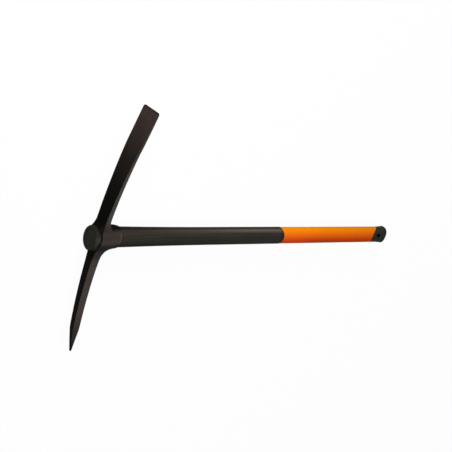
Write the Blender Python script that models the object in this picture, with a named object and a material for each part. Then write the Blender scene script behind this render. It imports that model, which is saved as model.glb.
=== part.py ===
"""Pickaxe with a forged head and a moulded handle, lying on its side.

+X runs along the handle from the top of the eye cap to the butt, +Y points to the chisel edge
and +Z is up from the side that the tool lies on. The origin is where the handle's axis meets the
eye cap's flat top. Half depths are measured along Y and half widths along Z.
"""

import math

import bmesh
import bpy

# Fit and facet counts
touch_gap = 0.0003
cut_past = 0.0010
oval_steps = 48
edge_steps = 4
arm_corner_steps = 4
arm_face_steps = 8
bow_steps = 9
fillet_steps = 8
eye_steps = 8
cap_shoulder_steps = 8
flare_steps = 8
edge_share = 0.9

# Whole tool
overall_length = 0.9025

# Eye cap, the moulded puck that closes the top of the eye
cap_height = 0.0135
cap_half_depth = 0.0275
cap_shift = 0.0016
cap_half_width = 0.0243
cap_shoulder_height = 0.0052
cap_shoulder_run = 0.0034
cap_ring_inset = 0.0096
cap_ring_width = 0.0022
cap_ring_depth = 0.0005
cap_ring_draft = 0.0005
cap_spigot_depth = 0.0040
cap_lower_edge = 0.0012

# Eye of the forged head
eye_length = 0.0520
eye_top_half_depth = 0.0272
eye_top_half_width = 0.0237
eye_end_half_depth = 0.0243
eye_end_half_width = 0.0202
eye_edge_radius = 0.0014
bore_top_half_depth = 0.0206
bore_top_half_width = 0.0166
bore_end_half_depth = 0.0185
bore_end_half_width = 0.0145

# Chisel arm
chisel_reach = 0.2900
chisel_face_drop = 0.0004
chisel_bow_radius = 1.58
chisel_root_half_width = 0.0160
chisel_edge_half_width = 0.0268
chisel_root_thickness = 0.0120
chisel_root_swell = 0.0024
chisel_waist_thickness = 0.0068
chisel_edge_thickness = 0.0016
chisel_grind_length = 0.0850
chisel_grind_power = 1.7

# Pick arm
pick_reach = 0.2900
pick_face_drop = 0.0006
pick_bow_radius = 1.70
pick_root_half_width = 0.0124
pick_waist_half_width = 0.0072
pick_point_half_width = 0.0011
pick_root_thickness = 0.0188
pick_root_swell = 0.0040
pick_waist_thickness = 0.0165
pick_point_thickness = 0.0022
pick_point_length = 0.0650

# Roots of the arms at the eye
arm_corner_radius = 0.0020
chisel_fillet_radius = 0.0230
pick_fillet_radius = 0.0175
root_rise = 0.0084
root_rise_length = 0.0142
root_rise_lead = 0.0006
root_rise_gap = 0.0008
root_swell_length = 0.1100
root_side_flare = 0.0420
arm_start = 0.0100

# Fibreglass core
core_half_depth = 0.0140
core_half_width = 0.0100

# Shaft jacket
neck_half_depth = 0.0175
neck_half_width = 0.0135
shaft_half_depth = 0.0210
shaft_half_width = 0.0165
shoulder_half_depth = 0.0230
shoulder_half_width = 0.0186
shoulder_flare_length = 0.2500
jacket_length_below_eye = 0.4730
jacket_edge_radius = 0.0008

# Grip sleeve
grip_half_depth = 0.0206
grip_half_width = 0.0161
grip_wall = 0.0022
grip_edge_radius = 0.0005

# Butt cap
butt_end_half_depth = 0.0214
butt_end_half_width = 0.0170
butt_edge_radius = 0.0022
butt_flare_length = 0.0240
tongue_centre_from_butt = 0.0278
tongue_reach = 0.0215
tongue_half_depth = 0.0208
seat_lead = 0.0030
core_socket_to_butt = 0.0400
lanyard_hole_radius = 0.0035
lanyard_hole_from_butt = 0.0270
lanyard_hole_offset = 0.0050
lanyard_hole_steps = 24

# Places along the handle that follow from the sizes above
eye_top_x = cap_height + touch_gap
eye_end_x = eye_top_x + eye_length
eye_side = (eye_top_half_depth + eye_end_half_depth) / 2
rise_start = cap_half_depth - cap_shift + root_rise_gap
spigot_end_x = eye_top_x + cap_spigot_depth
neck_top_x = spigot_end_x + touch_gap
shoulder_x = eye_end_x + touch_gap
jacket_end_x = shoulder_x + jacket_length_below_eye
grip_start_x = jacket_end_x + touch_gap
tongue_centre_x = overall_length - tongue_centre_from_butt
tongue_tip_x = tongue_centre_x - tongue_reach
cap_seat_x = tongue_tip_x - seat_lead
core_end_x = overall_length - core_socket_to_butt
seat_half_depth = grip_half_depth - grip_wall - touch_gap
seat_half_width = grip_half_width - grip_wall - touch_gap


def make_material(name, colour, roughness, metallic):
    material = bpy.data.materials.new(name)
    material.use_nodes = True
    shader = material.node_tree.nodes["Principled BSDF"]
    shader.inputs["Base Color"].default_value = (*colour, 1.0)
    shader.inputs["Roughness"].default_value = roughness
    shader.inputs["Metallic"].default_value = metallic
    return material


def make_collection(name):
    collection = bpy.data.collections.new(name)
    bpy.context.scene.collection.children.link(collection)
    return collection


def oval_ring(x, half_depth, half_width, centre=0.0):
    """Points of an oval across the handle at x, with its centre on the axis unless given."""
    angles = [2 * math.pi * step / oval_steps for step in range(oval_steps)]
    return [(x, centre + half_depth * math.cos(a), half_width * math.sin(a)) for a in angles]


def edge_arc(radius):
    """Depth and inset of each point on a quarter round, from the end face to the side."""
    turns = [math.pi / 2 * step / edge_steps for step in range(edge_steps + 1)]
    return [(radius * (1 - math.cos(turn)), radius * (1 - math.sin(turn))) for turn in turns]


def skin(name, rings, closed=False):
    """Skin rings of equal point count into a mesh object, capped unless the rings close."""
    shell = bmesh.new()
    rows = [[shell.verts.new(point) for point in ring] for ring in rings]
    pairs = list(zip(rows, rows[1:]))
    if closed:
        pairs.append((rows[-1], rows[0]))
    else:
        shell.faces.new(rows[0])
        shell.faces.new(rows[-1])
    for first, second in pairs:
        for here in range(len(first)):
            after = (here + 1) % len(first)
            shell.faces.new((first[here], first[after], second[after], second[here]))
    bmesh.ops.recalc_face_normals(shell, faces=shell.faces)
    mesh = bpy.data.meshes.new(name)
    shell.to_mesh(mesh)
    shell.free()
    return bpy.data.objects.new(name, mesh)


def oval_body(name, stations):
    """Solid lofted through ovals, each given as x, half depth and half width."""
    return skin(name, [oval_ring(*station) for station in stations])


def oval_sleeve(name, outer, inner):
    """Tube between two sets of ovals, both given from the head's end to the butt's end."""
    return skin(name, [oval_ring(*station) for station in outer + inner[::-1]], closed=True)


def shade(body, smooth_angle=30):
    body.data.shade_smooth()
    body.data.set_sharp_from_angle(angle=math.radians(smooth_angle))
    return body


def finish(body, material):
    part_collection.objects.link(body)
    body.data.materials.append(material)
    return shade(body)


def make_cutter(body):
    cutter_collection.objects.link(body)
    body.hide_render = True
    body.display_type = "WIRE"
    return body


def combine(body, other, operation):
    step = body.modifiers.new(f"{operation.lower()} {other.name}", "BOOLEAN")
    step.operation = operation
    step.solver = "EXACT"
    step.object = other


def eye_size(x):
    """Half depth and half width of the eye's outside, which tapers faster towards its end."""
    amount = ((x - eye_top_x) / eye_length) ** 2
    half_depth = eye_top_half_depth + (eye_end_half_depth - eye_top_half_depth) * amount
    half_width = eye_top_half_width + (eye_end_half_width - eye_top_half_width) * amount
    return half_depth, half_width


def bore_size(x):
    """Half depth and half width of the eye's straight tapered bore."""
    amount = (x - eye_top_x) / eye_length
    half_depth = bore_top_half_depth + (bore_end_half_depth - bore_top_half_depth) * amount
    half_width = bore_top_half_width + (bore_end_half_width - bore_top_half_width) * amount
    return half_depth, half_width


def jacket_size(x):
    """Half depth and half width of the shaft, which swells to its shoulder at the eye."""
    flare = max(0.0, 1.0 - (x - shoulder_x) / shoulder_flare_length) ** 2
    half_depth = shaft_half_depth + (shoulder_half_depth - shaft_half_depth) * flare
    half_width = shaft_half_width + (shoulder_half_width - shaft_half_width) * flare
    return half_depth, half_width


def butt_size(x):
    """Half depth and half width of the butt cap, which swells towards its end."""
    flare = max(0.0, 1.0 - (overall_length - x) / butt_flare_length) ** 2
    half_depth = grip_half_depth + (butt_end_half_depth - grip_half_depth) * flare
    half_width = grip_half_width + (butt_end_half_width - grip_half_width) * flare
    return half_depth, half_width


def rounded_start(x, half_depth, half_width, radius):
    """Stations of a rounded edge that faces the head."""
    return [(x + deep, half_depth - inset, half_width - inset) for deep, inset in edge_arc(radius)]


def rounded_end(x, half_depth, half_width, radius):
    """Stations of a rounded edge that faces the butt."""
    arc = edge_arc(radius)[::-1]
    return [(x - deep, half_depth - inset, half_width - inset) for deep, inset in arc]


def bow_drop(distance, bow_radius):
    """How far an arm has curved towards the handle at a distance from the eye's axis."""
    return bow_radius - math.sqrt(bow_radius ** 2 - distance ** 2)


def root_flare(distance, arm_half_width):
    """Half width of an arm, swept out to the eye's cheek over the side flare."""
    start = eye_top_half_depth / 2
    cheek = eye_top_half_width * math.sqrt(1 - (start / eye_top_half_depth) ** 2)
    amount = min(1.0, max(0.0, 1.0 - (distance - start) / root_side_flare)) ** 2
    return arm_half_width + (cheek - arm_half_width) * amount


def root_fillet(distance, radius):
    """Extra depth of an arm's handle side in the fillet to the eye, and its share from 0 to 1."""
    reach = min(radius, max(0.0, eye_side + radius - distance))
    depth = radius - math.sqrt(radius ** 2 - reach ** 2)
    return depth, depth / radius


def rise_at_cap(distance):
    """How far the chisel's outer face rises beside the eye cap."""
    beyond = distance - rise_start
    lead = min(1.0, max(0.0, beyond / root_rise_lead))
    return root_rise * lead * max(0.0, 1.0 - beyond / root_rise_length) ** 2


def root_wrap(distance, z):
    """How far a point of an arm's section is drawn in, so that its root follows the cap's oval."""
    fade = min(1.0, max(0.0, 1.0 - (distance - rise_start) / root_side_flare)) ** 2
    across = min(edge_share, abs(z) / cap_half_width)
    return fade * cap_half_depth * (1 - math.sqrt(1 - across ** 2))


def root_swell(distance, swell):
    """Extra thickness on an arm's handle side, fading out over the swell length."""
    return swell * max(0.0, 1.0 - distance / root_swell_length) ** 2


def chisel_size(distance):
    """Outer face, thickness and half width of the chisel arm at a distance from the axis."""
    grind_start = chisel_reach - chisel_grind_length
    if distance < grind_start:
        thinning = distance / grind_start
        thickness = chisel_root_thickness
        thickness += (chisel_waist_thickness - chisel_root_thickness) * thinning
    else:
        left = (chisel_reach - distance) / chisel_grind_length
        thickness = chisel_edge_thickness
        thickness += (chisel_waist_thickness - chisel_edge_thickness) * left ** chisel_grind_power
    spread = distance / chisel_reach
    half_width = chisel_root_half_width
    half_width += (chisel_edge_half_width - chisel_root_half_width) * spread
    root_centre = eye_top_x + chisel_face_drop + chisel_root_thickness / 2
    outer_x = root_centre + bow_drop(distance, chisel_bow_radius) - thickness / 2
    rise = rise_at_cap(distance)
    thickness += root_swell(distance, chisel_root_swell)
    return outer_x - rise, thickness + rise, half_width


def pick_size(distance):
    """Outer face, thickness and half width of the pick arm at a distance from the axis."""
    point_start = pick_reach - pick_point_length
    if distance < point_start:
        amount = distance / point_start
        sizes = (pick_root_thickness, pick_waist_thickness, pick_root_half_width,
                 pick_waist_half_width)
    else:
        amount = (distance - point_start) / pick_point_length
        sizes = (pick_waist_thickness, pick_point_thickness, pick_waist_half_width,
                 pick_point_half_width)
    thickness = sizes[0] + (sizes[1] - sizes[0]) * amount
    half_width = sizes[2] + (sizes[3] - sizes[2]) * amount
    root_centre = eye_top_x + pick_face_drop + pick_root_thickness / 2
    outer_x = root_centre + bow_drop(distance, pick_bow_radius) - thickness / 2
    return outer_x, thickness + root_swell(distance, pick_root_swell), half_width


def face_points(first, last):
    """Points between two corners of an arm's section, along its outer or inner face."""
    shares = [step / arm_face_steps for step in range(1, arm_face_steps)]
    return [tuple(a + (b - a) * share for a, b in zip(first, last)) for share in shares]


def arm_ring(distance, side, arm_size, fillet_radius):
    """Rounded rectangle across an arm, fuller on the handle side where it meets the eye."""
    outer_x, thickness, half_width = arm_size(distance)
    fillet_depth, fillet_share = root_fillet(distance, fillet_radius)
    half_width = root_flare(distance, half_width)
    inner_x = outer_x + thickness + fillet_depth
    edge = min(arm_corner_radius, edge_share * thickness / 2, edge_share * half_width)
    round_edge = edge + (edge_share * half_width - edge) * fillet_share
    corners = (
        (outer_x + edge, half_width - edge, edge, math.pi / 2),
        (outer_x + edge, edge - half_width, edge, math.pi),
        (inner_x - round_edge, round_edge - half_width, round_edge, 3 * math.pi / 2),
        (inner_x - round_edge, half_width - round_edge, round_edge, 0.0),
    )
    turns = [math.pi / 2 * step / arm_corner_steps for step in range(arm_corner_steps + 1)]
    arcs = [[(corner_x + radius * math.cos(start + turn), corner_z + radius * math.sin(start + turn))
             for turn in turns] for corner_x, corner_z, radius, start in corners]
    outline = arcs[0] + face_points(arcs[0][-1], arcs[1][0]) + arcs[1]
    outline += arcs[2] + face_points(arcs[2][-1], arcs[3][0]) + arcs[3]
    return [(x, side * (distance - root_wrap(distance, z)), z) for x, z in outline]


def arm_distances(knee, reach, fillet_radius):
    """Distances of an arm's sections: round the root fillet, then to the knee and the tip."""
    turns = [math.pi / 2 * i / fillet_steps for i in range(fillet_steps)]
    root = [eye_side + fillet_radius * (1 - math.cos(turn)) for turn in turns]
    fillet_end = eye_side + fillet_radius
    shank = [fillet_end + (knee - fillet_end) * i / bow_steps for i in range(bow_steps)]
    tip = [knee + (reach - knee) * i / bow_steps for i in range(bow_steps + 1)]
    return [arm_start, (arm_start + eye_side) / 2] + root + shank + tip


def make_pick_head(material):
    """Forged head: a tapered eye with a chisel arm and a pick arm joined by root fillets."""
    walls = [eye_top_x + eye_length * i / eye_steps for i in range(1, eye_steps)]
    stations = rounded_start(eye_top_x, *eye_size(eye_top_x), eye_edge_radius)
    stations += [(x, *eye_size(x)) for x in walls]
    stations += rounded_end(eye_end_x, *eye_size(eye_end_x), eye_edge_radius)
    head = oval_body("pick_head", stations)

    chisel_knee = chisel_reach - chisel_grind_length
    chisel_distances = arm_distances(chisel_knee, chisel_reach, chisel_fillet_radius)
    chisel_distances = sorted(chisel_distances + [rise_start, rise_start + root_rise_lead])
    chisel_rings = [arm_ring(d, 1, chisel_size, chisel_fillet_radius) for d in chisel_distances]
    chisel = make_cutter(shade(skin("chisel_arm", chisel_rings)))
    combine(head, chisel, "UNION")

    pick_knee = pick_reach - pick_point_length
    pick_distances = arm_distances(pick_knee, pick_reach, pick_fillet_radius)
    pick_rings = [arm_ring(d, -1, pick_size, pick_fillet_radius) for d in pick_distances]
    pick = make_cutter(shade(skin("pick_arm", pick_rings)))
    combine(head, pick, "UNION")

    bore = [(x, *bore_size(x)) for x in (eye_top_x - cut_past, eye_end_x + cut_past)]
    combine(head, make_cutter(oval_body("eye_bore", bore)), "DIFFERENCE")
    return finish(head, material)


def make_eye_cap(material):
    """Moulded puck, set towards the pick: a ringed flat top, a round shoulder and a spigot."""
    ring_outer = cap_ring_inset - cap_ring_width
    profile = [(0.0, cap_ring_inset), (cap_ring_depth, cap_ring_inset - cap_ring_draft),
               (cap_ring_depth, ring_outer + cap_ring_draft), (0.0, ring_outer)]
    for step in range(cap_shoulder_steps + 1):
        turn = math.pi / 2 * step / cap_shoulder_steps
        deep = cap_shoulder_height * (1 - math.cos(turn))
        profile.append((deep, cap_shoulder_run * (1 - math.sin(turn))))
    stations = [(deep, cap_half_depth - inset, cap_half_width - inset) for deep, inset in profile]
    stations += rounded_end(cap_height, cap_half_depth, cap_half_width, cap_lower_edge)
    stations = [(*station, -cap_shift) for station in stations]
    spigot_half_depth, spigot_half_width = [half - touch_gap for half in bore_size(spigot_end_x)]
    stations.append((cap_height, spigot_half_depth, spigot_half_width))
    stations.append((spigot_end_x, spigot_half_depth, spigot_half_width))
    return finish(oval_body("eye_cap", stations), material)


def make_eye_resin(material):
    """Cast bond between the jacket's neck and the bore, thick at the top like a wedge."""
    ends = (neck_top_x, eye_end_x)
    outer = [(x, *[half - touch_gap for half in bore_size(x)]) for x in ends]
    inner = [(x, neck_half_depth + touch_gap, neck_half_width + touch_gap) for x in ends]
    return finish(oval_sleeve("eye_resin", outer, inner), material)


def make_handle_core(material):
    """Pultruded fibreglass bar from the eye cap to the butt cap."""
    ends = (neck_top_x, core_end_x - touch_gap)
    stations = [(x, core_half_depth, core_half_width) for x in ends]
    return finish(oval_body("handle_core", stations), material)


def make_shaft_jacket(material):
    """Black moulded jacket: a neck in the eye, a flared shaft, and a seat under the grip."""
    seat_end_x = cap_seat_x - touch_gap
    flare = [shoulder_x + shoulder_flare_length * i / flare_steps
             for i in range(1, flare_steps + 1)]
    outer = [(neck_top_x, neck_half_depth, neck_half_width)]
    outer.append((shoulder_x, neck_half_depth, neck_half_width))
    outer += rounded_start(shoulder_x, *jacket_size(shoulder_x), jacket_edge_radius)
    outer += [(x, *jacket_size(x)) for x in flare]
    outer += rounded_end(jacket_end_x, *jacket_size(jacket_end_x), jacket_edge_radius)
    outer += [(x, seat_half_depth, seat_half_width) for x in (jacket_end_x, seat_end_x)]
    bore = (core_half_depth + touch_gap, core_half_width + touch_gap)
    inner = [(x, *bore) for x in (neck_top_x, seat_end_x)]
    return finish(oval_sleeve("shaft_jacket", outer, inner), material)


def make_tongue_outline(name, clearance):
    """Upright prism whose round nose is the joint line between the grip and the butt cap."""
    nose = [(tongue_centre_x - (tongue_reach + clearance) * math.cos(turn),
             (tongue_half_depth + clearance) * math.sin(turn))
            for turn in [math.pi * (step / oval_steps - 0.5) for step in range(oval_steps + 1)]]
    past_side = 2 * tongue_half_depth
    past_butt = overall_length + tongue_reach
    outline = nose + [(tongue_centre_x - clearance, past_side), (past_butt, past_side),
                      (past_butt, -past_side), (tongue_centre_x - clearance, -past_side)]
    rings = [[(x, y, z) for x, y in outline] for z in (-past_side, past_side)]
    return make_cutter(skin(name, rings))


def make_grip_sleeve(material):
    """Orange grip, cut back round the butt cap's two tongues."""
    grip_end_x = tongue_centre_x + tongue_reach
    outer = rounded_start(grip_start_x, grip_half_depth, grip_half_width, grip_edge_radius)
    outer += [(tongue_tip_x - tongue_reach, grip_half_depth, grip_half_width),
              (grip_end_x, grip_half_depth, grip_half_width)]
    bore = (grip_half_depth - grip_wall, grip_half_width - grip_wall)
    inner = [(x, *bore) for x in (grip_start_x, tongue_tip_x - tongue_reach, grip_end_x)]
    grip = oval_sleeve("grip_sleeve", outer, inner)
    combine(grip, make_tongue_outline("grip_notch", touch_gap), "DIFFERENCE")
    return finish(grip, material)


def make_butt_cap(material):
    """Flared end cap with two tongues, a socket for the core and a lanyard hole."""
    flare_start_x = overall_length - butt_flare_length
    flare_run = butt_flare_length - butt_edge_radius
    flare = [flare_start_x + flare_run * i / flare_steps for i in range(flare_steps)]
    stations = [(tongue_tip_x - tongue_reach, grip_half_depth, grip_half_width)]
    stations += [(x, *butt_size(x)) for x in flare]
    stations += rounded_end(overall_length, *butt_size(overall_length), butt_edge_radius)
    cap = oval_body("butt_cap", stations)
    combine(cap, make_tongue_outline("tongue_outline", 0.0), "INTERSECT")

    seat_ends = (cap_seat_x, overall_length - butt_edge_radius)
    seat = [(x, seat_half_depth, seat_half_width) for x in seat_ends]
    combine(cap, make_cutter(oval_body("cap_seat", seat)), "UNION")

    socket_size = (core_half_depth + touch_gap, core_half_width + touch_gap)
    socket = [(x, *socket_size) for x in (tongue_tip_x - tongue_reach, core_end_x)]
    combine(cap, make_cutter(oval_body("core_socket", socket)), "DIFFERENCE")

    hole_x = overall_length - lanyard_hole_from_butt
    bpy.ops.mesh.primitive_cylinder_add(
        vertices=lanyard_hole_steps, radius=lanyard_hole_radius,
        depth=2 * (butt_end_half_width + cut_past), location=(hole_x, lanyard_hole_offset, 0))
    hole = bpy.context.object
    hole.name = "lanyard_hole"
    hole.users_collection[0].objects.unlink(hole)
    combine(cap, make_cutter(hole), "DIFFERENCE")
    return finish(cap, material)


for leftover in list(bpy.data.objects):
    bpy.data.objects.remove(leftover)
part_collection = make_collection("pickaxe")
cutter_collection = make_collection("cutters")

forged_steel = make_material("black coated steel", (0.012, 0.011, 0.010), 0.45, 0.6)
cap_plastic = make_material("black cap plastic", (0.016, 0.018, 0.015), 0.5, 0.0)
clear_resin = make_material("amber resin", (0.35, 0.20, 0.06), 0.3, 0.0)
fibreglass = make_material("fibreglass", (0.55, 0.50, 0.30), 0.5, 0.0)
jacket_plastic = make_material("black jacket plastic", (0.022, 0.022, 0.018), 0.5, 0.0)
grip_rubber = make_material("orange grip rubber", (0.85, 0.23, 0.01), 0.6, 0.0)
butt_plastic = make_material("black butt plastic", (0.024, 0.024, 0.022), 0.5, 0.0)

make_pick_head(forged_steel)
make_eye_cap(cap_plastic)
make_eye_resin(clear_resin)
make_handle_core(fibreglass)
make_shaft_jacket(jacket_plastic)
make_grip_sleeve(grip_rubber)
make_butt_cap(butt_plastic)
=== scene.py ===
"""A pickaxe with a forged black head and a moulded handle, dressed for its photograph.

+X runs along the handle from the eye cap to the butt, +Y points to the chisel edge and +Z is up
from the side that the tool lies on. Lengths are in metres.
"""

import math

import bmesh
import bpy
from mathutils import Matrix, Vector


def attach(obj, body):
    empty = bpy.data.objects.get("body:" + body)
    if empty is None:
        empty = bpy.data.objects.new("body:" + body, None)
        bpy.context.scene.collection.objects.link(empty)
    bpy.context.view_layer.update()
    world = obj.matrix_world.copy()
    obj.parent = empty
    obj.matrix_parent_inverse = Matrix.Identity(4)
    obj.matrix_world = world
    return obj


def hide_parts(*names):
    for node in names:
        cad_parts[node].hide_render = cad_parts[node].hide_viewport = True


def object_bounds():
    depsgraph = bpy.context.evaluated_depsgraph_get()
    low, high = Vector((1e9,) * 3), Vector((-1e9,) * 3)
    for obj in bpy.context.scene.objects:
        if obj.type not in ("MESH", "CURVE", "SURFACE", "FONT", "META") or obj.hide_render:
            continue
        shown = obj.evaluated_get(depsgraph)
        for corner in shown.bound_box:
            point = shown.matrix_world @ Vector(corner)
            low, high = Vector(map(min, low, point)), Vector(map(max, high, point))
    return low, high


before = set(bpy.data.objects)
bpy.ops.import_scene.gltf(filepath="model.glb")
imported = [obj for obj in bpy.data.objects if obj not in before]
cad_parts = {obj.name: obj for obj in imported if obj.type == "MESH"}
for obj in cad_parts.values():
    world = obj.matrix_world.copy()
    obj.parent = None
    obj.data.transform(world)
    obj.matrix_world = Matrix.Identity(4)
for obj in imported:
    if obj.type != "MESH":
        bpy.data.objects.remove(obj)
cad_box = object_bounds()

# Sizes shared with the solids
touch_gap = 0.0003
overall_length = 0.9025

cap_height = 0.0135
cap_half_depth = 0.0275
cap_shift = 0.0016
cap_half_width = 0.0243
cap_shoulder_height = 0.0052
cap_shoulder_run = 0.0034
cap_ring_inset = 0.0096
cap_ring_width = 0.0022
cap_ring_depth = 0.0005
cap_foot_inset = 0.0060
cap_foot_radius = 0.0012

eye_top_x = cap_height + touch_gap
eye_length = 0.0520
eye_end_x = eye_top_x + eye_length
eye_top_half_depth = 0.0272
eye_top_half_width = 0.0237
eye_end_half_depth = 0.0243
eye_end_half_width = 0.0202
eye_side = (eye_top_half_depth + eye_end_half_depth) / 2
bore_top_half_depth = 0.0206
bore_top_half_width = 0.0166
bore_end_half_depth = 0.0185
bore_end_half_width = 0.0145

chisel_reach = 0.2900
chisel_face_drop = 0.0004
chisel_bow_radius = 1.58
chisel_root_half_width = 0.0160
chisel_edge_half_width = 0.0268
chisel_root_thickness = 0.0120
chisel_root_swell = 0.0024
chisel_waist_thickness = 0.0068
chisel_edge_thickness = 0.0016
chisel_grind_length = 0.0850
chisel_grind_power = 1.7

pick_reach = 0.2900
pick_face_drop = 0.0006
pick_bow_radius = 1.70
pick_root_half_width = 0.0124
pick_waist_half_width = 0.0072
pick_point_half_width = 0.0011
pick_root_thickness = 0.0188
pick_root_swell = 0.0040
pick_waist_thickness = 0.0165
pick_point_thickness = 0.0022
pick_point_length = 0.0650

chisel_fillet_radius = 0.0230
pick_fillet_radius = 0.0175
root_rise = 0.0084
root_rise_length = 0.0142
root_rise_gap = 0.0008
root_swell_length = 0.1100
root_side_flare = 0.0420

neck_start_depth = 0.0080
neck_half_depth = 0.0175
neck_half_width = 0.0135
shaft_half_depth = 0.0210
shaft_half_width = 0.0165
shoulder_half_depth = 0.0230
shoulder_half_width = 0.0186
shoulder_flare_length = 0.2500
jacket_length_below_eye = 0.4730
jacket_edge_radius = 0.0008
seat_end_gap = 0.0040

grip_half_depth = 0.0206
grip_half_width = 0.0161
grip_wall = 0.0022
grip_edge_radius = 0.0005

butt_end_half_depth = 0.0214
butt_end_half_width = 0.0170
butt_flare_length = 0.0240
butt_blank_lead = 0.0100
cutter_height = 0.0800
tongue_centre_x = overall_length - 0.0278
tongue_reach = 0.0215
tongue_half_depth = 0.0208
lanyard_hole_radius = 0.0035
lanyard_hole_x = overall_length - 0.0270
lanyard_hole_y = 0.0050

shoulder_x = eye_end_x + touch_gap
jacket_end_x = shoulder_x + jacket_length_below_eye
grip_start_x = jacket_end_x + touch_gap
tongue_tip_x = tongue_centre_x - tongue_reach
rise_start = cap_half_depth - cap_shift + root_rise_gap

# Wear and blending that the solids leave out
edge_skew = 0.0034
blade_fullness = 0.0019
blade_fullness_power = 0.6
point_wear = 0.0060
chisel_fillet_stretch = 1.35
worn_corner_radius = 0.0045
chisel_wall_swell = 0.0024
pick_wall_swell = 0.0007
wall_swell_start = 0.0080
wall_swell_rise_length = 0.0260
wall_swell_fall_length = 0.0180
wall_swell_fall_share = 0.7
cap_shoulder_wear = 0.0008
joint_curve = 0.0060
butt_squareness = 0.5
butt_crisp_radius = 0.0010


# Sections of the tool

def eye_size(x):
    amount = ((x - eye_top_x) / eye_length) ** 2
    return (eye_top_half_depth + (eye_end_half_depth - eye_top_half_depth) * amount,
            eye_top_half_width + (eye_end_half_width - eye_top_half_width) * amount)


def jacket_size(x):
    flare = max(0.0, 1.0 - (x - shoulder_x) / shoulder_flare_length) ** 2
    return (shaft_half_depth + (shoulder_half_depth - shaft_half_depth) * flare,
            shaft_half_width + (shoulder_half_width - shaft_half_width) * flare)


def butt_size(x):
    flare = max(0.0, 1.0 - (overall_length - x) / butt_flare_length) ** 2
    return (grip_half_depth + (butt_end_half_depth - grip_half_depth) * flare,
            grip_half_width + (butt_end_half_width - grip_half_width) * flare)


def bow_drop(distance, bow_radius):
    return bow_radius - math.sqrt(bow_radius ** 2 - distance ** 2)


def root_flare(distance, arm_half_width):
    start = eye_top_half_depth / 2
    cheek = eye_top_half_width * math.sqrt(1 - (start / eye_top_half_depth) ** 2)
    amount = min(1.0, max(0.0, 1.0 - (distance - start) / root_side_flare)) ** 2
    return arm_half_width + (cheek - arm_half_width) * amount


def root_fillet(distance, radius):
    reach = min(radius, max(0.0, eye_side + radius - distance))
    return radius - math.sqrt(radius ** 2 - reach ** 2)


def rise_at_cap(distance):
    """How far the chisel's outer face rises beside the eye cap."""
    if distance < rise_start:
        return 0.0
    return root_rise * max(0.0, 1.0 - (distance - rise_start) / root_rise_length) ** 2


def root_swell(distance, swell):
    return swell * max(0.0, 1.0 - distance / root_swell_length) ** 2


def root_wrap(distance, z):
    fade = min(1.0, max(0.0, 1.0 - (distance - rise_start) / root_side_flare)) ** 2
    across = min(0.9, abs(z) / cap_half_width)
    return fade * cap_half_depth * (1 - math.sqrt(1 - across ** 2))


def worn_edge(distance, z):
    """The chisel's edge stands a little further out on its upper side."""
    amount = max(0.0, 1.0 - (chisel_reach - distance) / chisel_grind_length)
    return edge_skew * amount ** 2 * (z / chisel_edge_half_width + 1) / 2


def chisel_size(distance):
    grind_start = chisel_reach - chisel_grind_length
    left = min(1.0, (chisel_reach - distance) / chisel_grind_length)
    if distance < grind_start:
        thinning = distance / grind_start
        thickness = chisel_root_thickness
        thickness += (chisel_waist_thickness - chisel_root_thickness) * thinning
    else:
        thickness = chisel_edge_thickness
        thickness += (chisel_waist_thickness - chisel_edge_thickness) * left ** chisel_grind_power
    half_width = chisel_root_half_width
    half_width += (chisel_edge_half_width - chisel_root_half_width) * distance / chisel_reach
    near = min(worn_corner_radius, max(0.0, distance - (chisel_reach - worn_corner_radius)))
    half_width -= worn_corner_radius - math.sqrt(worn_corner_radius ** 2 - near ** 2)
    root_centre = eye_top_x + chisel_face_drop + chisel_root_thickness / 2
    rise = rise_at_cap(distance)
    outer_x = root_centre + bow_drop(distance, chisel_bow_radius) - thickness / 2 - rise
    thickness += blade_fullness * (4 * left * (1 - left)) ** blade_fullness_power
    thickness += root_swell(distance, chisel_root_swell)
    thickness += chisel_fillet_stretch * root_fillet(distance, chisel_fillet_radius) + rise
    return outer_x, thickness, root_flare(distance, half_width)


def pick_size(distance):
    point_start = pick_reach - pick_point_length
    if distance < point_start:
        amount = distance / point_start
        thickness = pick_root_thickness + (pick_waist_thickness - pick_root_thickness) * amount
        half_width = pick_root_half_width + (pick_waist_half_width - pick_root_half_width) * amount
    else:
        amount = (distance - point_start) / pick_point_length
        thickness = pick_waist_thickness + (pick_point_thickness - pick_waist_thickness) * amount
        half_width = pick_waist_half_width
        half_width += (pick_point_half_width - pick_waist_half_width) * amount
    root_centre = eye_top_x + pick_face_drop + pick_root_thickness / 2
    outer_x = root_centre + bow_drop(distance, pick_bow_radius) - thickness / 2
    thickness += root_swell(distance, pick_root_swell)
    thickness += root_fillet(distance, pick_fillet_radius)
    return outer_x, thickness, root_flare(distance, half_width)


# Modelling helpers

def clear_selection():
    if bpy.context.object and bpy.context.object.mode != "OBJECT":
        bpy.ops.object.mode_set(mode="OBJECT")
    bpy.ops.object.select_all(action="DESELECT")


def begin_oval(name, x, half_depth, half_width, sides, filled):
    """Add an oval across the handle at x and leave it selected in edit mode."""
    clear_selection()
    bpy.ops.mesh.primitive_circle_add(
        vertices=sides, radius=1.0, fill_type="NGON" if filled else "NOTHING",
        location=(0, 0, 0), rotation=(0, math.pi / 2, 0))
    piece = bpy.context.object
    piece.name = name
    piece.data.name = name
    bpy.ops.object.transform_apply(location=True, rotation=True, scale=True)
    bpy.ops.object.mode_set(mode="EDIT")
    bpy.ops.mesh.select_all(action="SELECT")
    bpy.ops.transform.resize(value=(1, half_depth, half_width), center_override=(0, 0, 0))
    bpy.ops.transform.translate(value=(x, 0, 0))
    return piece


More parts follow.
